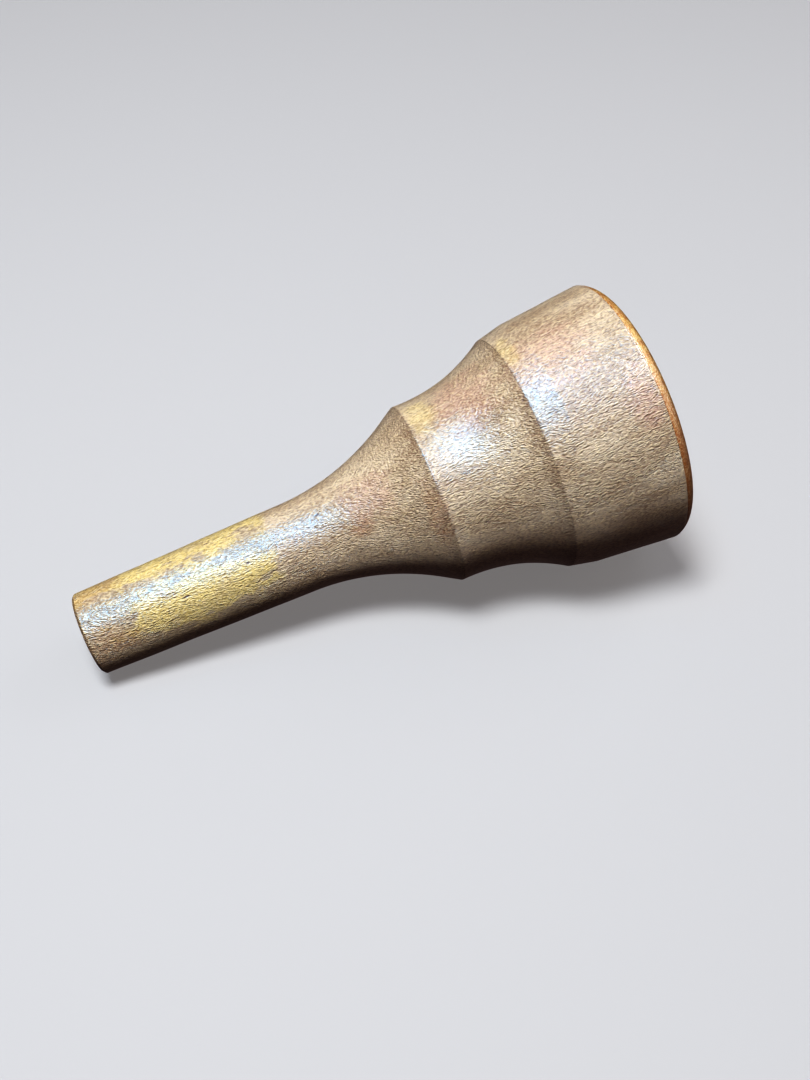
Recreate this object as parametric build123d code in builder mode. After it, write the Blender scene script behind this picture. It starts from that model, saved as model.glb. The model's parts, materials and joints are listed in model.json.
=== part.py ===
from build123d import *
import os
from math import atan, atan2, cos, degrees, radians, sin, tan

# A turned wooden mouthpiece for a large-shank trombone, in millimetres and degrees.
# It lies on its side: the edge of the shank's tip and the crease round the rim barrel
# touch the table at Z = 0. +X runs towards the rim, and the bore climbs towards it.
# In every outline, the first coordinate is the distance along the bore from the face of the
# shank's tip, and the second is the radius.

# Length of the whole piece, and where its sections meet along the bore
overall_length = 89.0
stem_length = 33.0
lower_ridge_along = 54.2
upper_ridge_along = 70.1
crease_along = 74.2
ring_joint_along = 87.0

# Outside of the shank and the cup body
tip_radius = 12.7 / 2
tip_chamfer = 0.4
taper_on_diameter = 1 / 24
flare_arc_radius = 37.0
flare_angle = 31.5
cove_depth = 1.3

# Outside of the rim barrel and the rim ring
upper_ridge_radius = 18.5
crease_radius = 19.45
ring_joint_radius = 20.7
crest_outer_radius = 17.6
crest_inner_radius = 16.2

# Airway: backbore, throat and bowl
backbore_tip_radius = 4.8
throat_radius = 3.5
throat_start = 49.0
throat_end = 59.0
bowl_floor_pull = (63.5, 3.5)
bowl_wall_pull = (62.0, 13.1)
bowl_mouth_along = 84.0
bowl_mouth_radius = 13.8
past_the_ends = 5.0

# Glued joints
tenon_radius = 8.0
tenon_blank_length = 14.0
spigot_radius = 16.0
spigot_length = 8.0
lip_radius = 16.4
lip_length = 2.0

# Radii on the tapered stem, and the point where the flare meets the lower ridge
taper_slope = taper_on_diameter / 2
taper_angle = degrees(atan(taper_slope))
bearing_edge_radius = tip_radius + tip_chamfer * taper_slope
stem_radius = tip_radius + stem_length * taper_slope
flare_run = flare_arc_radius * (sin(radians(flare_angle)) - sin(radians(taper_angle)))
flare_rise = flare_arc_radius * (cos(radians(taper_angle)) - cos(radians(flare_angle)))
straight_run = lower_ridge_along - stem_length - flare_run
lower_ridge_radius = stem_radius + flare_rise + straight_run * tan(radians(flare_angle))

# The rim's outer edge is an arc that meets the flat crest square to the bore.
edge_run = overall_length - ring_joint_along
edge_drop = ring_joint_radius - crest_outer_radius
edge_radius = (edge_run**2 + edge_drop**2) / (2 * edge_run)
inner_edge_radius = crest_inner_radius - bowl_mouth_radius

# Ends of the glued joints
tenon_blank_end = lower_ridge_along + tenon_blank_length
spigot_end = upper_ridge_along + spigot_length
lip_end = ring_joint_along - lip_length

# The piece leans on its tip edge and on the crease, which sets the slope of the bore.
bore_slope = atan2(crease_radius - bearing_edge_radius, crease_along - tip_chamfer)
slope_cos = cos(bore_slope)
slope_sin = sin(bore_slope)

# Reach of the piece in X, each way from the centre of the tip's face
tip_reach = -(tip_radius - tip_chamfer) * slope_sin
rim_reach = (overall_length - edge_radius) * slope_cos + crest_outer_radius * slope_sin + edge_radius
tip_height = bearing_edge_radius * slope_cos - tip_chamfer * slope_sin

tip_centre = Vector(-(tip_reach + rim_reach) / 2, 0, tip_height)
bore_direction = Vector(slope_cos, 0, slope_sin)
lathe_plane = Plane(origin=tip_centre, x_dir=bore_direction, z_dir=(0, -1, 0))
bore_axis = Axis(tip_centre, bore_direction)

lower_ridge = (lower_ridge_along, lower_ridge_radius)
upper_ridge = (upper_ridge_along, upper_ridge_radius)
crease = (crease_along, crease_radius)
ring_joint = (ring_joint_along, ring_joint_radius)

# The airway is one solid, which is taken out of each piece that it passes through.
with BuildPart() as airway:
    with BuildSketch(lathe_plane):
        with BuildLine():
            backbore = Line((0, backbore_tip_radius), (throat_start, throat_radius))
            throat = Line(backbore @ 1, (throat_end, throat_radius))
            bowl = Bezier(
                throat @ 1,
                bowl_floor_pull,
                bowl_wall_pull,
                (bowl_mouth_along, bowl_mouth_radius),
            )
            Polyline(
                bowl @ 1,
                (overall_length + past_the_ends, bowl_mouth_radius),
                (overall_length + past_the_ends, 0),
                (-past_the_ends, 0),
                (-past_the_ends, backbore_tip_radius),
                backbore @ 0,
            )
        make_face()
    revolve(axis=bore_axis)

# Shank: tapered stem and flare, with a tenon whose end is part of the bowl's floor
with BuildPart() as shank:
    with BuildSketch(lathe_plane):
        with BuildLine():
            stem = Line((tip_chamfer, bearing_edge_radius), (stem_length, stem_radius))
            flare = JernArc(stem @ 1, stem % 1, flare_arc_radius, flare_angle - taper_angle)
            Polyline(
                flare @ 1,
                lower_ridge,
                (lower_ridge_along, tenon_radius),
                (tenon_blank_end, tenon_radius),
                (tenon_blank_end, 0),
                (0, 0),
                (0, tip_radius - tip_chamfer),
                stem @ 0,
            )
        make_face()
    revolve(axis=bore_axis)
    add(airway.part, mode=Mode.SUBTRACT)

shank.part.label = "shank"

# Cup body: from ridge to ridge outside, bored through for the tenon, with a spigot for the barrel
with BuildPart() as cup_body:
    with BuildSketch(lathe_plane):
        with BuildLine():
            cove = SagittaArc(lower_ridge, upper_ridge, -cove_depth)
            Polyline(
                cove @ 1,
                (upper_ridge_along, spigot_radius),
                (spigot_end, spigot_radius),
                (spigot_end, tenon_radius),
                (lower_ridge_along, tenon_radius),
                cove @ 0,
            )
        make_face()
    revolve(axis=bore_axis)
    add(airway.part, mode=Mode.SUBTRACT)

cup_body.part.label = "cup_body"

# Rim barrel: the wide band, counterbored for the spigot and rebated for the rim ring's lip
with BuildPart() as rim_barrel:
    with BuildSketch(lathe_plane):
        with BuildLine():
            Polyline(
                (upper_ridge_along, spigot_radius),
                upper_ridge,
                crease,
                ring_joint,
                (ring_joint_along, lip_radius),
                (lip_end, lip_radius),
                (lip_end, tenon_radius),
                (spigot_end, tenon_radius),
                (spigot_end, spigot_radius),
                close=True,
            )
        make_face()
    revolve(axis=bore_axis)
    add(airway.part, mode=Mode.SUBTRACT)

rim_barrel.part.label = "rim_barrel"

# Rim ring: rounded outer edge, flat crest and a quarter-round into the bowl
with BuildPart() as rim_ring:
    with BuildSketch(lathe_plane):
        with BuildLine():
            outer_edge = RadiusArc(ring_joint, (overall_length, crest_outer_radius), edge_radius)
            crest = Line(outer_edge @ 1, (overall_length, crest_inner_radius))
            inner_edge = RadiusArc(
                crest @ 1,
                (overall_length - inner_edge_radius, bowl_mouth_radius),
                inner_edge_radius,
            )
            Polyline(
                inner_edge @ 1,
                (lip_end, bowl_mouth_radius),
                (lip_end, lip_radius),
                (ring_joint_along, lip_radius),
                outer_edge @ 0,
            )
        make_face()
    revolve(axis=bore_axis)

rim_ring.part.label = "rim_ring"

os.makedirs("parts", exist_ok=True)
for piece in (shank, cup_body, rim_barrel, rim_ring):
    export_step(piece.part, f"parts/{piece.part.label}.step")
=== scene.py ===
"""The looks of a turned wooden trombone mouthpiece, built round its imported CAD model.

Each of the four glued pieces is turned again as a fine lathe mesh, with eased edges and the
slight unevenness of hand work. All are cut from one billet: the grain is worked out in three
dimensions in the bore's own frame, so it runs on from piece to piece.
"""

import json
from math import atan, atan2, cos, hypot, pi, radians, sin, tan

import bmesh
import bpy
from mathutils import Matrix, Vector, noise


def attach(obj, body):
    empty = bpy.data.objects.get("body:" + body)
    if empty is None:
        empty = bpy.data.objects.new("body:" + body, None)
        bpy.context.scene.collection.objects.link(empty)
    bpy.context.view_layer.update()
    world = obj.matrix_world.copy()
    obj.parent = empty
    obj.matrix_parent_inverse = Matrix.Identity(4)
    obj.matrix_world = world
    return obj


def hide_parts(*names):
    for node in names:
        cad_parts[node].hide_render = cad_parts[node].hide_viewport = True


MM = 0.001

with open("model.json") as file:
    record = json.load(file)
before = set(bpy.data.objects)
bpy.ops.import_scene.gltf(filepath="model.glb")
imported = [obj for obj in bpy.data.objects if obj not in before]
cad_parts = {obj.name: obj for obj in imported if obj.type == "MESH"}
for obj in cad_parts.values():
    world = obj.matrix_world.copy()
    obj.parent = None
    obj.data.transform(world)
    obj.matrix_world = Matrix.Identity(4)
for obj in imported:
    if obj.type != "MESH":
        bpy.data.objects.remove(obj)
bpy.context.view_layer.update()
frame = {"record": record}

# ---------------------------------------------------------------- the bore's frame

mounts = {mount["name"]: mount for mount in frame["record"]["mounts"]}
ALONG_BORE = Vector(mounts["throat"]["axis"]).normalized()
TIP_CENTRE = Vector(mounts["shank_taper"]["pos_m"])
ACROSS = Vector((0, 1, 0))
UPRIGHT = ALONG_BORE.cross(ACROSS)
BORE_SLOPE = atan2(ALONG_BORE.z, ALONG_BORE.x)

# ---------------------------------------------------------------- sizes, in millimetres
# Along is the distance along the bore from the face of the tip. Turn is the angle round the
# bore, 0 on the upright side and growing towards +Y.

OVERALL_LENGTH = 89.0
STEM_LENGTH = 33.0
LOWER_RIDGE_ALONG = 54.2
UPPER_RIDGE = (70.1, 18.5)
CREASE = (74.2, 19.45)
RING_JOINT = (87.0, 20.7)
TIP_RADIUS = 12.7 / 2
TIP_CHAMFER = 0.4
TAPER_SLOPE = 1 / 48
FLARE_ARC_RADIUS = 37.0
FLARE_ANGLE = radians(31.5)
COVE_DEPTH = 1.3
CREST_OUTER_RADIUS = 17.6
CREST_INNER_RADIUS = 16.2
BACKBORE_TIP_RADIUS = 4.8
THROAT_RADIUS = 3.5
THROAT_START = 49.0
THROAT_END = 59.0
BOWL_MOUTH = (84.0, 13.8)
TENON_RADIUS = 8.0
SPIGOT_RADIUS = 16.0
SPIGOT_LENGTH = 8.0
LIP_RADIUS = 16.4
LIP_LENGTH = 2.0

# Where the spigot and the lip end, and the four points that pull the bowl's curve
SPIGOT_END = UPPER_RIDGE[0] + SPIGOT_LENGTH
LIP_END = RING_JOINT[0] - LIP_LENGTH
BOWL_POINTS = ((THROAT_END, THROAT_RADIUS), (63.5, THROAT_RADIUS), (62.0, 13.1), BOWL_MOUTH)

# Softness is the radius that rounds a corner.
SHARP = 0.0
HAIRLINE = 0.05
EASED = 0.2
WORN = 0.6

# How far the glued faces stand apart, how far the rim ring is sunk below the barrel's outside,
# and the length of the bevel that takes the barrel down to it
GLUE_GAP = 0.02
RING_SUNK = 0.11
BEVEL = 0.25

# How fine the meshes are. Points closer than NEAR to a cut in an outline give way to it, and a
# corner's curve takes at most CORNER_SHARE of the sides that meet there. Edges that bend by
# SHARP_FROM or more are shaded sharp.
STEP = 0.45
RIM_EDGE_STEP = 0.15
BOWL_EDGE_STEP = 0.2
HIDDEN_STEP = 2.0
NEAR = 0.05
FEWEST_ARC_STEPS = 4
CORNER_STEPS = 5
CORNER_SHARE = 0.45
BOWL_STEPS = 56
SEGMENTS = 288
SHARP_FROM = radians(24)

# The finish of a stretch of outline, which is also the number of its material in a piece
LACQUERED, BORED, GLUED = 0, 1, 2


# ---------------------------------------------------------------- outlines


def arc(centre, radius, first, last, step=STEP):
    """Points from one angle to another round a centre, both ends included."""
    count = max(FEWEST_ARC_STEPS, round(abs(last - first) * radius / step))
    angles = [first + (last - first) * i / count for i in range(count + 1)]
    return [(centre[0] + radius * cos(a), centre[1] + radius * sin(a), SHARP) for a in angles]


def flare_curve():
    """The arc that turns the stem's taper into the straight run up to the lower ridge."""
    taper_angle = atan(TAPER_SLOPE)
    centre = (
        STEM_LENGTH - FLARE_ARC_RADIUS * sin(taper_angle),
        TIP_RADIUS + STEM_LENGTH * TAPER_SLOPE + FLARE_ARC_RADIUS * cos(taper_angle),
    )
    return arc(centre, FLARE_ARC_RADIUS, taper_angle - pi / 2, FLARE_ANGLE - pi / 2)


def cove_curve(start, end):
    """The hollow between the two ridges, an arc COVE_DEPTH below the line that joins them."""
    run, rise = end[0] - start[0], end[1] - start[1]
    chord = hypot(run, rise)
    radius = (chord**2 / 4 + COVE_DEPTH**2) / (2 * COVE_DEPTH)
    reach = radius - COVE_DEPTH
    centre = (
        (start[0] + end[0]) / 2 - rise / chord * reach,
        (start[1] + end[1]) / 2 + run / chord * reach,
    )
    middle = atan2(rise, run) - pi / 2
    half = atan2(chord / 2, reach)
    return arc(centre, radius, middle - half, middle + half)


def bowl_curve():
    """The bowl's wall, from the throat to its mouth."""
    points = []
    for i in range(BOWL_STEPS + 1):
        t = i / BOWL_STEPS
        weights = ((1 - t) ** 3, 3 * t * (1 - t) ** 2, 3 * t * t * (1 - t), t**3)
        along = sum(weight * point[0] for weight, point in zip(weights, BOWL_POINTS))
        radius = sum(weight * point[1] for weight, point in zip(weights, BOWL_POINTS))
        points.append((along, radius, SHARP))
    return points


def rounded(before, corner, after):
    """The points that replace a corner: a short curve with about its softness for a radius."""
    if corner[2] == SHARP:
        return [corner]
    back = Vector((before[0] - corner[0], before[1] - corner[1]))
    ahead = Vector((after[0] - corner[0], after[1] - corner[1]))
    turn = pi - back.angle(ahead)
    longest = CORNER_SHARE * min(back.length, ahead.length)
    reach = min(corner[2] * tan(turn / 2), longest)
    first = Vector(corner[:2]) + back.normalized() * reach
    last = Vector(corner[:2]) + ahead.normalized() * reach
    points = []
    for i in range(CORNER_STEPS + 1):
        t = i / CORNER_STEPS
        point = first * (1 - t) ** 2 + Vector(corner[:2]) * 2 * t * (1 - t) + last * t * t
        points.append((point.x, point.y, SHARP))
    return points


def softened(points):
    """An open outline with each corner rounded by its softness."""
    result = [points[0]]
    for before, corner, after in zip(points, points[1:], points[2:]):
        result += rounded(before, corner, after)
    return [*result, points[-1]]


def crossing(line, along):
    """Where an outline that only runs forwards passes a distance along the bore."""
    for first, last in zip(line, line[1:]):
        if first[0] <= along <= last[0] and last[0] > first[0]:
            share = (along - first[0]) / (last[0] - first[0])
            return (along, first[1] + (last[1] - first[1]) * share, HAIRLINE)
    raise ValueError(f"the outline doesn't reach {along} mm")


def stretch(line, start, end):
    """The part of an outline between two distances along the bore."""
    inside = [point for point in line if start + NEAR < point[0] < end - NEAR]
    return [crossing(line, start), *inside, crossing(line, end)]


def finished(runs):
    """A piece's closed outline, as (along, radius, finish), from its runs of (points, finish)."""
    corners = [(*point, finish) for points, finish in runs for point in points]
    ring = [corners[-1], *corners, corners[0]]
    smooth = []
    for before, corner, after in zip(ring, ring[1:], ring[2:]):
        for point in rounded(before, corner, after):
            smooth.append((point[0], point[1], corner[3]))
    result = []
    for first, last in zip(smooth, smooth[1:] + smooth[:1]):
        step = HIDDEN_STEP if GLUED in (first[2], last[2]) else STEP
        count = max(1, round(hypot(last[0] - first[0], last[1] - first[1]) / step))
        for i in range(count):
            share = i / count
            along = first[0] + (last[0] - first[0]) * share
            radius = first[1] + (last[1] - first[1]) * share
            result.append((along, radius, first[2]))
    return result


flare = flare_curve()
LOWER_RIDGE = (
    LOWER_RIDGE_ALONG,
    flare[-1][1] + (LOWER_RIDGE_ALONG - flare[-1][0]) * tan(FLARE_ANGLE),
)
tip_middle = (0, (TIP_RADIUS + BACKBORE_TIP_RADIUS) / 2, SHARP)

outside = softened(
    [
        tip_middle,
        (0, TIP_RADIUS - TIP_CHAMFER, EASED),
        (TIP_CHAMFER, TIP_RADIUS + TIP_CHAMFER * TAPER_SLOPE, EASED),
        *flare,
        (*LOWER_RIDGE, WORN),
        *cove_curve(LOWER_RIDGE, UPPER_RIDGE)[1:-1],
        (*UPPER_RIDGE, WORN),
        (*CREASE, WORN),
        (*RING_JOINT, SHARP),
    ]
)
bowl = bowl_curve()
airway = softened(
    [
        tip_middle,
        (0, BACKBORE_TIP_RADIUS, EASED),
        (THROAT_START, THROAT_RADIUS, WORN),
        *bowl,
        (LIP_END, BOWL_MOUTH[1], SHARP),
    ]
)
tenon_end = next(point[0] for point in bowl if point[1] > TENON_RADIUS)


def shank_outline():
    """The stem and the flare, with a tenon whose end is part of the bowl's floor."""
    end = LOWER_RIDGE_ALONG - GLUE_GAP
    outer = [point for point in outside if point[0] < end - NEAR]
    outer.append(crossing(outside, end))
    inner = [point for point in airway if point[0] < tenon_end - NEAR]
    inner.append(crossing(airway, tenon_end))
    tenon = [
        (end, TENON_RADIUS - GLUE_GAP, SHARP),
        (tenon_end, TENON_RADIUS - GLUE_GAP, SHARP),
    ]
    return finished([(outer, LACQUERED), (tenon, GLUED), (inner[:0:-1], BORED)])


def cup_body_outline():
    """The hollow between the ridges, bored for the tenon, with a spigot for the barrel."""
    outer = stretch(outside, LOWER_RIDGE_ALONG, UPPER_RIDGE[0] - GLUE_GAP)
    inner = stretch(airway, tenon_end + GLUE_GAP, SPIGOT_END)
    spigot = [
        (UPPER_RIDGE[0] - GLUE_GAP, SPIGOT_RADIUS - GLUE_GAP, SHARP),
        (SPIGOT_END, SPIGOT_RADIUS - GLUE_GAP, SHARP),
    ]
    socket = [
        (tenon_end + GLUE_GAP, TENON_RADIUS, SHARP),
        (LOWER_RIDGE_ALONG, TENON_RADIUS, SHARP),
    ]
    return finished(
        [(outer, LACQUERED), (spigot, GLUED), (inner[::-1], BORED), (socket, GLUED)]
    )


def rim_barrel_outline():
    """The wide band, counterbored for the spigot and rebated for the rim ring's lip."""
    outer = stretch(outside, UPPER_RIDGE[0], RING_JOINT[0] - BEVEL)
    outer.append((RING_JOINT[0], RING_JOINT[1] - RING_SUNK, HAIRLINE))
    inner = stretch(airway, SPIGOT_END + GLUE_GAP, LIP_END - GLUE_GAP)
    rebate = [
        (RING_JOINT[0], LIP_RADIUS, SHARP),
        (LIP_END - GLUE_GAP, LIP_RADIUS, SHARP),
    ]
    counterbore = [
        (SPIGOT_END + GLUE_GAP, SPIGOT_RADIUS, SHARP),
        (UPPER_RIDGE[0], SPIGOT_RADIUS, SHARP),
    ]
    return finished(
        [(outer, LACQUERED), (rebate, GLUED), (inner[::-1], BORED), (counterbore, GLUED)]
    )


def rim_ring_outline():
    """The rounded outer edge, flat crest and quarter-round into the bowl, with a lip behind."""
    joint = RING_JOINT[0] + GLUE_GAP
    drop = RING_JOINT[1] - RING_SUNK - CREST_OUTER_RADIUS
    run = OVERALL_LENGTH - RING_JOINT[0]
    radius = (run**2 + drop**2) / (2 * run)
    centre = (OVERALL_LENGTH - radius, CREST_OUTER_RADIUS)
    outer = arc(centre, radius, atan2(drop, joint - centre[0]), 0, RIM_EDGE_STEP)
    inner_radius = CREST_INNER_RADIUS - BOWL_MOUTH[1]
    inner_centre = (OVERALL_LENGTH - inner_radius, CREST_INNER_RADIUS)
    inner = arc(inner_centre, inner_radius, 0, -pi / 2, BOWL_EDGE_STEP)
    rim = [(*outer[0][:2], HAIRLINE), *outer[1:], *inner, (LIP_END, BOWL_MOUTH[1], HAIRLINE)]
    lip = [
        (LIP_END, LIP_RADIUS - GLUE_GAP, SHARP),
        (joint, LIP_RADIUS - GLUE_GAP, SHARP),
    ]
    return finished([(rim, LACQUERED), (lip, GLUED)])


# ---------------------------------------------------------------- unevenness
# All of it brings surfaces nearer to the axis, inside and outside alike. So the outside never
# stands out past the CAD solid, and glued faces stay the same distance apart.

WAVE_LENGTH, WAVE_DEPTH = 7.0, 0.07
DIMPLE_SIZE, DIMPLE_DEPTH = 5.0, 0.05
OVAL_DEPTH, OVAL_TURN = 0.06, radians(25)
NICK = {
    "along": 15.7,
    "turn": radians(-42),
    "length": 0.9,
    "width": 0.16,
    "depth": 0.1,
    "skew": 0.5,
}


def nick_depth(along, radius, turn):
    """How deep the small dent in the stem is at a point."""
    across = (turn - NICK["turn"]) * radius / NICK["width"]
    ahead = (along - NICK["along"]) / NICK["length"]
    away = hypot(ahead, across + NICK["skew"] * ahead)
    return NICK["depth"] * max(0.0, 1 - away) if radius > BACKBORE_TIP_RADIUS else 0.0


def worn_radius(along, radius, turn):
    """A radius less what the turner's hand, the drying of the wood and a knock took off it."""
    wave = 0.5 + 0.5 * noise.noise(Vector((along / WAVE_LENGTH, 0.5, 0.5)))
    place = Vector((along, radius * sin(turn), radius * cos(turn))) / DIMPLE_SIZE
    dimple = 0.5 + 0.5 * noise.noise(place)
    oval = 0.5 - 0.5 * cos(2 * (turn - OVAL_TURN))
    off = WAVE_DEPTH * wave + DIMPLE_DEPTH * dimple + OVAL_DEPTH * oval * radius / RING_JOINT[1]
    return radius - off - nick_depth(along, radius, turn)


# ---------------------------------------------------------------- meshes


def bore_point(along, radius, turn):
    """A place given in the bore's frame, in metres in the frame of the model."""
    out = ACROSS * sin(turn) + UPRIGHT * cos(turn)
    return TIP_CENTRE + (ALONG_BORE * along + out * radius) * MM


def turned(name, outline, materials, node):
    """Turns a closed outline into a mesh on the lathe, and gives it its place in the model."""
    mesh = bmesh.new()
    rings = []
    for i in range(SEGMENTS):
        turn = 2 * pi * i / SEGMENTS - pi
        ring = []
        for along, radius, finish in outline:
            ring.append(mesh.verts.new(bore_point(along, worn_radius(along, radius, turn), turn)))
        rings.append(ring)
    for ring, beside in zip(rings, rings[1:] + rings[:1]):
        for i in range(len(outline)):
            after = (i + 1) % len(outline)
            face = mesh.faces.new((ring[i], ring[after], beside[after], beside[i]))
            face.material_index = outline[i][2]
            face.smooth = True
    bmesh.ops.recalc_face_normals(mesh, faces=mesh.faces)
    for edge in mesh.edges:
        edge.smooth = edge.calc_face_angle(0) < SHARP_FROM
    data = bpy.data.meshes.new(name)
    mesh.to_mesh(data)
    mesh.free()
    for material in materials:
        data.materials.append(material)
    piece = bpy.data.objects.new(name, data)
    bpy.context.scene.collection.objects.link(piece)
    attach(piece, "root")
    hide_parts(node)


# ---------------------------------------------------------------- materials


class Recipe:
    """A material's node tree, with short words for adding nodes and joining them."""

    def __init__(self, name):
        self.material = bpy.data.materials.new(name)
        self.material.use_nodes = True
        self.tree = self.material.node_tree
        self.tree.nodes.clear()

    def node(self, kind, inputs=None, **settings):
        """Adds a node. An input's value is a number, a colour, or another node's output."""
        node = self.tree.nodes.new(kind)
        for key, value in settings.items():
            setattr(node, key, value)
        for key, value in (inputs or {}).items():
            if isinstance(value, bpy.types.NodeSocket):
                self.tree.links.new(value, node.inputs[key])
            else:
                node.inputs[key].default_value = value
        return node

    def math(self, operation, *values):
        """One sum on numbers."""
        inputs = dict(enumerate(values))
        return self.node("ShaderNodeMath", inputs, operation=operation).outputs[0]

    def vector(self, operation, first, second):
        """One sum on vectors."""
        inputs = {0: first, 1: second}
        return self.node("ShaderNodeVectorMath", inputs, operation=operation).outputs[0]

    def moved(self, vector, location=(0, 0, 0), rotation=(0, 0, 0), scale=(1, 1, 1)):
        """A vector read in a frame that stands at location, turned and scaled."""
        inputs = {"Vector": vector, "Location": location, "Rotation": rotation, "Scale": scale}
        return self.node("ShaderNodeMapping", inputs, vector_type="TEXTURE").outputs[0]

    def noise(self, vector, size, detail=2.0, rough=0.5):
        """Smooth noise from 0 to 1, whose lumps have a size in millimetres along each axis."""
        inputs = {
            "Vector": self.moved(vector, scale=size),
            "Scale": 1.0,
            "Detail": detail,
            "Roughness": rough,
        }
        return self.node("ShaderNodeTexNoise", inputs).outputs[0]

    def cells(self, vector, size):
        """The distance to the nearest of many scattered points, spread by size."""
        inputs = {"Vector": self.moved(vector, scale=size), "Scale": 1.0}
        return self.node("ShaderNodeTexVoronoi", inputs).outputs["Distance"]

    def between(self, value, low, high, to_low=0.0, to_high=1.0):
        """A smooth step of value, from to_low at low to to_high at high."""
        inputs = {
            "Value": value,
            "From Min": low,
            "From Max": high,
            "To Min": to_low,
            "To Max": to_high,
        }
        node = self.node("ShaderNodeMapRange", inputs, interpolation_type="SMOOTHSTEP")
        return node.outputs[0]

    def mixed(self, share, first, second):
        """Two colours mixed, all of the first at a share of 0 and all of the second at 1."""
        inputs = {0: share, 6: first, 7: second}
        return self.node("ShaderNodeMix", inputs, data_type="RGBA").outputs[2]

    def finish(self, **inputs):
        """The shader and the material's output."""
        shader = self.node("ShaderNodeBsdfPrincipled", inputs={
            key.replace("_", " "): value for key, value in inputs.items()
        })
        self.node("ShaderNodeOutputMaterial", {"Surface": shader.outputs[0]})
        return self.material


# The billet: its growth layers face the front and a little upwards. The fibres bow, so that they
# cross the bore's line a few degrees one way at the tip and the other way at the rim. Sizes of
# grain are (along the fibres, along a growth layer, through the layers), in millimetres.
LAYER_TURN = radians(65)
FIBRE_SKEW = radians(6)
FIBRE_BEND = 0.0013
BEND_END = 80.0
PITH_DEPTH = 60.0
RING_SPACING = 1.3
RAY_SIZE = (0.55, 0.17, 0.32)
FIBRE_SIZE = (1.1, 0.1, 0.12)
PORE_SIZE = (1.1, 0.3, 0.3)
SHADE_SIZE = (14, 4, 4)
DRIFT_SIZE, DRIFT_REACH = (2.6, 1.8, 2.2), (0.4, 0.5, 0.8)
SWELL_SIZE, SWELL_REACH = (30, 12, 12), 3.0
BLOTCH_SIZE, RIM_BLOTCH_SIZE = (4, 2.4, 2.4), (2, 1.6, 1.6)
TOOL_MARK_PITCH = 0.45

CREAM = (0.84, 0.71, 0.46, 1)
PALE = (0.72, 0.59, 0.43, 1)
TAN = (0.53, 0.395, 0.26, 1)
BROWN = (0.2, 0.105, 0.05, 1)
PINK = (0.62, 0.38, 0.29, 1)
GOLD = (0.86, 0.69, 0.28, 1)
DULL = (0.44, 0.34, 0.2, 1)
AMBER = (0.62, 0.32, 0.07, 1)
RUST = (0.42, 0.17, 0.05, 1)

# As far as the stem goes into the receiver, its lacquer is dull, with golden patches. The dull
# part fades out between these two places along the bore.
RECEIVER_EDGE = (28.9, 30.3)

# The colour is darker for a way on the tip's side of each ridge, and the darkening ends just past it.
SHADE_BEFORE_RIDGE = 1.8
SHADE_PAST_RIDGE = 0.4

# Where the colour changes in patches: along, turn in degrees, and how far it reaches each way along
# the bore and across it. POLISHED gives the golden patches inside the receiver's reach. The two golden
# places by the ridges are partly the wood's own tint and partly a painted golden sheen. The place on
# the rim ring is painted shade on its underside. The other places are the wood's own tints and marks.
GOLD_TINT_AND_SHEEN = ((56.4, 14, 2.2, 4), (71.2, 12, 1.3, 4))
RUSTY = ((2.5, 22, 5, 3), (3, -66, 5, 3), (43, -46, 1.8, 1.2), (53, -55, 1.5, 5))
ROSY = ((77, -3, 6, 6), (72.5, 0, 3, 5), (84.5, -38, 2.5, 5), (63, 5, 5, 6), (45, -20, 4, 4))
POLISHED = ((15, 38, 22, 5.6), (19, -50, 14, 3.7))
# Painted shade on the underside of the rim ring.
RIM_UNDERSIDE_SHADE = ((88, -85, 6, 18),)
BRUISED = (
    (15.7, -42, 0.7, 0.18),
    (25.6, -33, 0.3, 0.2),
    (21, 18, 0.5, 0.15),
    (37.5, -12, 0.4, 0.15),
)


def spots(recipe, bore, places, wobble, inner=0.0, outer=1.5):
    """A mask, 1 at the middle of each place and 0 beyond its ragged edge."""
    parts = recipe.node("ShaderNodeSeparateXYZ", {0: bore}).outputs
    turn = recipe.math("ARCTAN2", parts[1], parts[2])
    radius = recipe.math("SQRT", recipe.math(
        "ADD", recipe.math("MULTIPLY", parts[1], parts[1]), recipe.math("MULTIPLY", parts[2], parts[2])
    ))
    total = None
    for along, degrees, length, width in places:
        ahead = recipe.math("DIVIDE", recipe.math("SUBTRACT", parts[0], along), length)
        across = recipe.math("SUBTRACT", turn, radians(degrees))
        across = recipe.math("DIVIDE", recipe.math("MULTIPLY", across, radius), width)
        away = recipe.math(
            "ADD", recipe.math("MULTIPLY", ahead, ahead), recipe.math("MULTIPLY", across, across)
        )
        mask = recipe.between(recipe.math("ADD", away, wobble), inner, outer, 1.0, 0.0)
        total = mask if total is None else recipe.math("MAXIMUM", total, mask)
    return total


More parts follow.
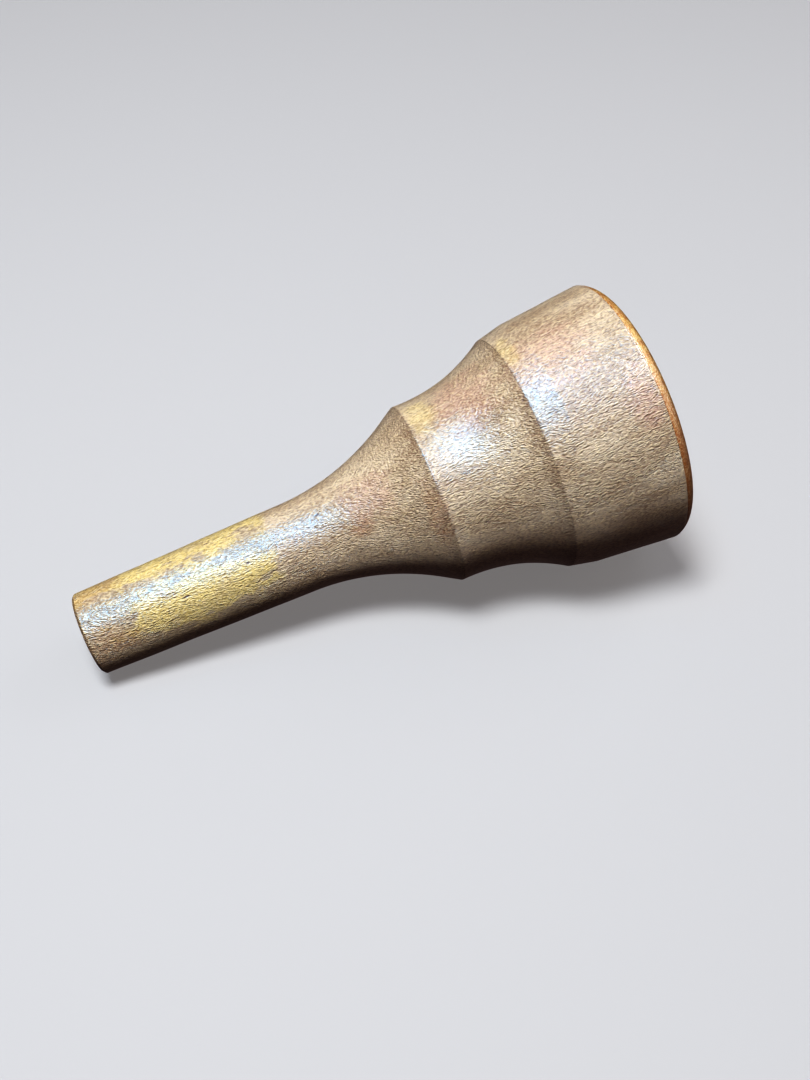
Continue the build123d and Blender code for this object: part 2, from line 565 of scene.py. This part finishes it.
class Grain:
    """The grain at each point: its fine pattern, its growth layers and how squarely it's cut."""

    def __init__(self, recipe):
        place = recipe.node("ShaderNodeTexCoord").outputs
        self.bore = recipe.moved(place["Object"], TIP_CENTRE, (0, -BORE_SLOPE, 0), (MM, MM, MM))
        self.along = recipe.node("ShaderNodeSeparateXYZ", {0: self.bore}).outputs[0]
        layers = recipe.moved(self.bore, rotation=(LAYER_TURN, 0, 0))
        straight = recipe.moved(layers, rotation=(0, 0, FIBRE_SKEW))
        short = recipe.math("SUBTRACT", recipe.math("MINIMUM", self.along, BEND_END), BEND_END)
        bend = recipe.math("MULTIPLY", recipe.math("MULTIPLY", short, short), -FIBRE_BEND)
        bend = recipe.node("ShaderNodeCombineXYZ", {1: bend}).outputs[0]
        billet = recipe.vector("ADD", straight, bend)

        # The fibres wander a little.
        lumps = {"Vector": recipe.moved(billet, scale=DRIFT_SIZE), "Scale": 1.0, "Detail": 2.0}
        drift = recipe.node("ShaderNodeTexNoise", lumps).outputs["Color"]
        drift = recipe.vector("SUBTRACT", drift, (0.5, 0.5, 0.5))
        drift = recipe.vector("MULTIPLY", drift, DRIFT_REACH)
        wavy = recipe.vector("ADD", billet, drift)

        # Rays are thin sheets, square to the growth layers. On a surface that follows a layer
        # they are short streaks, and on one that cuts through the layers they are wider flecks.
        self.rays = recipe.noise(wavy, RAY_SIZE, 1.5, 0.5)
        self.fibres = recipe.noise(wavy, FIBRE_SIZE, 2.0, 0.6)
        self.pores = recipe.between(recipe.cells(wavy, PORE_SIZE), 0.03, 0.16, 1.0, 0.0)
        self.broad = recipe.noise(billet, SHADE_SIZE, 3.0)

        # Growth layers, by distance from the pith
        parts = recipe.node("ShaderNodeSeparateXYZ", {0: wavy}).outputs
        depth = recipe.math("ADD", parts[2], PITH_DEPTH)
        reach = recipe.math("SQRT", recipe.math(
            "ADD", recipe.math("MULTIPLY", depth, depth), recipe.math("MULTIPLY", parts[1], parts[1])
        ))
        swell = recipe.math("MULTIPLY", recipe.noise(billet, SWELL_SIZE, 2.0), SWELL_REACH)
        year = recipe.math("DIVIDE", recipe.math("ADD", reach, swell), RING_SPACING)
        self.late = recipe.math("POWER", recipe.math("FRACT", year), 5.0)

        # How squarely the surface cuts the fibres: 1 on end grain, 0 where it runs along them
        fibre = ALONG_BORE * cos(FIBRE_SKEW) + sin(FIBRE_SKEW) * (
            ACROSS * cos(LAYER_TURN) + UPRIGHT * sin(LAYER_TURN)
        )
        sides = {0: place["Normal"], 1: fibre}
        facing = recipe.node("ShaderNodeVectorMath", sides, operation="DOT_PRODUCT")
        self.cut = recipe.math("ABSOLUTE", facing.outputs["Value"])


def grain_and_relief_shading(recipe, grain, colour):
    """A colour with the fine grain over it, with painted light on the bump's crests and painted shade
    in its hollows.
    """
    # The grain's colour follows the bump's height. It is partly the wood's own streaks and pores, and
    # partly painted light on the crests and painted shade in the hollows.
    colour = recipe.mixed(recipe.between(grain.rays, 0.3, 0.52, 0.45, 0.0), colour, BROWN)
    colour = recipe.mixed(recipe.between(grain.rays, 0.48, 0.66, 0.0, 0.5), colour, CREAM)
    colour = recipe.mixed(recipe.between(grain.fibres, 0.3, 0.5, 0.25, 0.0), colour, BROWN)
    return recipe.mixed(recipe.math("MULTIPLY", grain.pores, 0.2), colour, BROWN)


def relief(recipe, grain, depth, tool_marks=0.0):
    """A bump from the grain, so many millimetres deep, and from the lines of the turning tool."""
    height = recipe.math("ADD", grain.rays, recipe.math("MULTIPLY", grain.fibres, 0.25))
    height = recipe.math("SUBTRACT", height, recipe.math("MULTIPLY", grain.pores, 0.25))
    if tool_marks:
        lines = recipe.math("SINE", recipe.math("MULTIPLY", grain.along, 2 * pi / TOOL_MARK_PITCH))
        height = recipe.math("ADD", height, recipe.math("MULTIPLY", lines, tool_marks))
    inputs = {"Height": height, "Distance": depth * MM, "Strength": 1.0}
    return recipe.node("ShaderNodeBump", inputs).outputs[0]


def tints_and_painted_sheen(recipe, grain, blotch, wobble):
    """The wood's colour, with its pink, golden and rusty places, darker before each ridge. The golden
    places by the ridges are partly a painted sheen.
    """
    colour = recipe.mixed(recipe.between(grain.broad, 0.33, 0.67), TAN, PALE)
    rosy = recipe.math("MULTIPLY", spots(recipe, grain.bore, ROSY, wobble), 0.5)
    colour = recipe.mixed(rosy, colour, PINK)
    edge = recipe.math("ADD", grain.along, wobble)
    inside = recipe.between(edge, *RECEIVER_EDGE, 1.0, 0.0)
    colour = recipe.mixed(recipe.math("MULTIPLY", inside, 0.5), colour, DULL)
    inside = recipe.math("MULTIPLY", inside, recipe.between(blotch, 0.3, 0.6, 0.55, 1.0))
    golden = spots(recipe, grain.bore, POLISHED, wobble, 0.5, 1.1)
    colour = recipe.mixed(recipe.math("MULTIPLY", inside, golden), colour, GOLD)
    # The golden places by the ridges: partly the wood's own tint, partly a painted golden sheen.
    gold = recipe.math("MULTIPLY", spots(recipe, grain.bore, GOLD_TINT_AND_SHEEN, wobble), 0.45)
    colour = recipe.mixed(gold, colour, GOLD)
    rusty = recipe.math("MULTIPLY", spots(recipe, grain.bore, RUSTY, wobble), 0.35)
    colour = recipe.mixed(rusty, colour, RUST)
    for ridge in (LOWER_RIDGE_ALONG, UPPER_RIDGE[0]):
        before = recipe.between(edge, ridge - SHADE_BEFORE_RIDGE, ridge, 0.0, 0.35)
        past = recipe.between(grain.along, ridge, ridge + SHADE_PAST_RIDGE, 1.0, 0.0)
        colour = recipe.mixed(recipe.math("MULTIPLY", before, past), colour, BROWN)
    return recipe.mixed(recipe.math("MULTIPLY", grain.late, 0.2), colour, BROWN)


def wood(name, tool_marks=0.0):
    """Fine-grained wood under thin clear lacquer."""
    recipe = Recipe(name)
    grain = Grain(recipe)
    blotch = recipe.noise(grain.bore, BLOTCH_SIZE, 3.0, 0.65)
    wobble = recipe.math("MULTIPLY", recipe.math("SUBTRACT", blotch, 0.5), 4.0)
    colour = tints_and_painted_sheen(recipe, grain, blotch, wobble)
    colour = grain_and_relief_shading(recipe, grain, colour)
    colour = recipe.mixed(spots(recipe, grain.bore, BRUISED, 0.0), colour, BROWN)
    colour = recipe.mixed(recipe.between(grain.cut, 0.35, 0.95, 0.0, 0.7), colour, BROWN)
    rough = recipe.between(recipe.math("ADD", grain.fibres, blotch), 0.7, 1.3, 0.42, 0.58)
    return recipe.finish(
        Base_Color=colour,
        Roughness=rough,
        Normal=relief(recipe, grain, 0.5, tool_marks),
        IOR=1.5,
        Coat_Weight=1.0,
        Coat_Roughness=0.3,
        Coat_Normal=relief(recipe, grain, 0.09, tool_marks),
    )


def amber_end_grain(name):
    """Cut ends of the fibres, amber with the lacquer that they drank, and glossy. Its gold mottles are
    partly painted glints, and its band by the joint and its underside carry painted shade.
    """
    recipe = Recipe(name)
    grain = Grain(recipe)
    blotch = recipe.noise(grain.bore, RIM_BLOTCH_SIZE, 3.0, 0.65)
    colour = recipe.mixed(recipe.between(blotch, 0.48, 0.66, 0.0, 0.7), AMBER, RUST)
    # Gold mottles, partly the end grain's own and partly painted glints.
    colour = recipe.mixed(recipe.between(blotch, 0.5, 0.34, 0.0, 0.6), colour, GOLD)
    # Painted shade on the ring, in the step where it meets the barrel's bevel.
    joint_shade = recipe.between(grain.along, RING_JOINT[0], RING_JOINT[0] + 0.5, 0.6, 0.0)
    colour = recipe.mixed(joint_shade, colour, RUST)
    # Painted shade on the underside of the rim ring.
    underside_shade = recipe.math("MULTIPLY", spots(recipe, grain.bore, RIM_UNDERSIDE_SHADE, 0.0), 0.9)
    colour = recipe.mixed(underside_shade, colour, RUST)
    colour = grain_and_relief_shading(recipe, grain, colour)
    return recipe.finish(
        Base_Color=colour,
        Roughness=0.35,
        Normal=relief(recipe, grain, 0.12),
        IOR=1.5,
        Coat_Weight=0.6,
        Coat_Roughness=0.22,
        Coat_Normal=relief(recipe, grain, 0.03),
    )


lacquered_wood = wood("lacquered_wood")
bored_wood = wood("bored_wood", tool_marks=0.3)
glued_wood = wood("glued_wood", tool_marks=0.2)
rim_finish = amber_end_grain("rim_finish")

body_finishes = (lacquered_wood, bored_wood, glued_wood)
ring_finishes = (rim_finish, rim_finish, glued_wood)

turned("turned_shank", shank_outline(), body_finishes, "shank")
turned("turned_cup_body", cup_body_outline(), body_finishes, "cup_body")
turned("turned_rim_barrel", rim_barrel_outline(), body_finishes, "rim_barrel")
turned("turned_rim_ring", rim_ring_outline(), ring_finishes, "rim_ring")

# ---------------------------------------------------------------- floor, light and camera


def floor():
    """A plain pale tabletop, which glows faintly and throws no light back on the mouthpiece."""
    half = 0.6
    data = bpy.data.meshes.new("floor")
    corners = [(-half, -half, 0), (half, -half, 0), (half, half, 0), (-half, half, 0)]
    data.from_pydata(corners, [], [(0, 1, 2, 3)])
    piece = bpy.data.objects.new("floor", data)
    piece.visible_diffuse = False
    piece.visible_glossy = False
    recipe = Recipe("pale_floor")
    data.materials.append(recipe.finish(
        Base_Color=(0.3, 0.295, 0.295, 1),
        Roughness=0.9,
        Emission_Color=(1.0, 0.98, 0.98, 1),
        Emission_Strength=0.16,
    ))
    bpy.context.scene.collection.objects.link(piece)


def softbox(name, place, size, power, colour):
    """A rectangular soft light that faces the mouthpiece, in metres and watts."""
    data = bpy.data.lights.new(name, "AREA")
    data.shape = "RECTANGLE"
    data.size, data.size_y = size
    data.energy = power
    data.color = colour
    light = bpy.data.objects.new(name, data)
    light.location = place
    light.rotation_euler = (LIT_POINT - light.location).to_track_quat("-Z", "Y").to_euler()
    bpy.context.scene.collection.objects.link(light)
    return light


# The lights, each with its name, place, size, watts and colour. Places and sizes are in metres,
# and every light faces LIT_POINT. The key is the only strong diffuse light. The gleams are only
# reflected: the left one makes the streak on the stem and on the hollow between the ridges, the
# middle one the sheen of the barrel, and the right one the line on the bevel behind the rim. The
# fills are weak, from the rim's side and from behind.
LIT_POINT = Vector((0.0, 0.0, 0.015))
KEY = ("overhead", (-0.09, -0.045, 0.5), (0.14, 0.12), 2.45, (0.95, 0.98, 1.0))
GLEAMS = (
    ("gleam_left", (-0.15, 0.02, 0.5), (0.28, 0.12), 2.8, (0.12, 0.55, 1.0)),
    ("gleam_middle", (0.02, -0.09, 0.5), (0.5, 0.1), 1.35, (0.7, 0.74, 1.0)),
    ("gleam_right", (0.33, 0.07, 0.33), (0.28, 0.1), 1.7, (0.85, 0.92, 1.0)),
)
FILLS = (
    ("rim_fill", (0.45, 0.0, 0.11), (0.3, 0.2), 0.22, (1.0, 0.97, 0.95)),
    ("back_fill", (-0.12, 0.48, 0.14), (0.3, 0.2), 0.06, (1.0, 0.97, 0.95)),
)


def room():
    """A pale room to look at, which throws only a little warm light on the mouthpiece."""
    world = bpy.data.worlds.new("room")
    world.use_nodes = True
    nodes, links = world.node_tree.nodes, world.node_tree.links
    dim = nodes["Background"]
    dim.inputs["Color"].default_value = (1.0, 0.78, 0.84, 1)
    dim.inputs["Strength"].default_value = 0.06
    pale = nodes.new("ShaderNodeBackground")
    pale.inputs["Color"].default_value = (0.4, 0.4, 0.41, 1)
    seen = nodes.new("ShaderNodeLightPath").outputs["Is Camera Ray"]
    mix = nodes.new("ShaderNodeMixShader")
    for socket, source in enumerate((seen, dim.outputs[0], pale.outputs[0])):
        links.new(source, mix.inputs[socket])
    links.new(mix.outputs[0], nodes["World Output"].inputs["Surface"])
    bpy.context.scene.world = world


def studio():
    """A lamp overhead with reflections of its own, two weak fills and a pale room."""
    softbox(*KEY).visible_glossy = False
    for gleam in GLEAMS:
        softbox(*gleam).visible_diffuse = False
    for fill in FILLS:
        softbox(*fill)
    room()
    bpy.context.scene.view_settings.view_transform = "Standard"
    bpy.context.scene.view_settings.look = "Very High Contrast"


CAMERA_AZIMUTH = radians(-21.18)
CAMERA_ELEVATION = radians(49.8)
CAMERA_DISTANCE = 196.06 * MM
CAMERA_AIM = Vector((3.39, -4.21, 11.72)) * MM
CAMERA_LENS = 43.43
SENSOR_WIDTH = 36


def camera():
    """Looks down at the mouthpiece from in front, with the tip at the lower left."""
    back = Vector((
        sin(CAMERA_AZIMUTH) * cos(CAMERA_ELEVATION),
        -cos(CAMERA_AZIMUTH) * cos(CAMERA_ELEVATION),
        sin(CAMERA_ELEVATION),
    ))
    data = bpy.data.cameras.new("camera")
    data.lens = CAMERA_LENS
    data.sensor_width = SENSOR_WIDTH
    data.clip_start = 0.01
    piece = bpy.data.objects.new("camera", data)
    piece.location = CAMERA_AIM + back * CAMERA_DISTANCE
    piece.rotation_euler = back.to_track_quat("Z", "Y").to_euler()
    bpy.context.scene.collection.objects.link(piece)
    bpy.context.scene.camera = piece


floor()
studio()
camera()
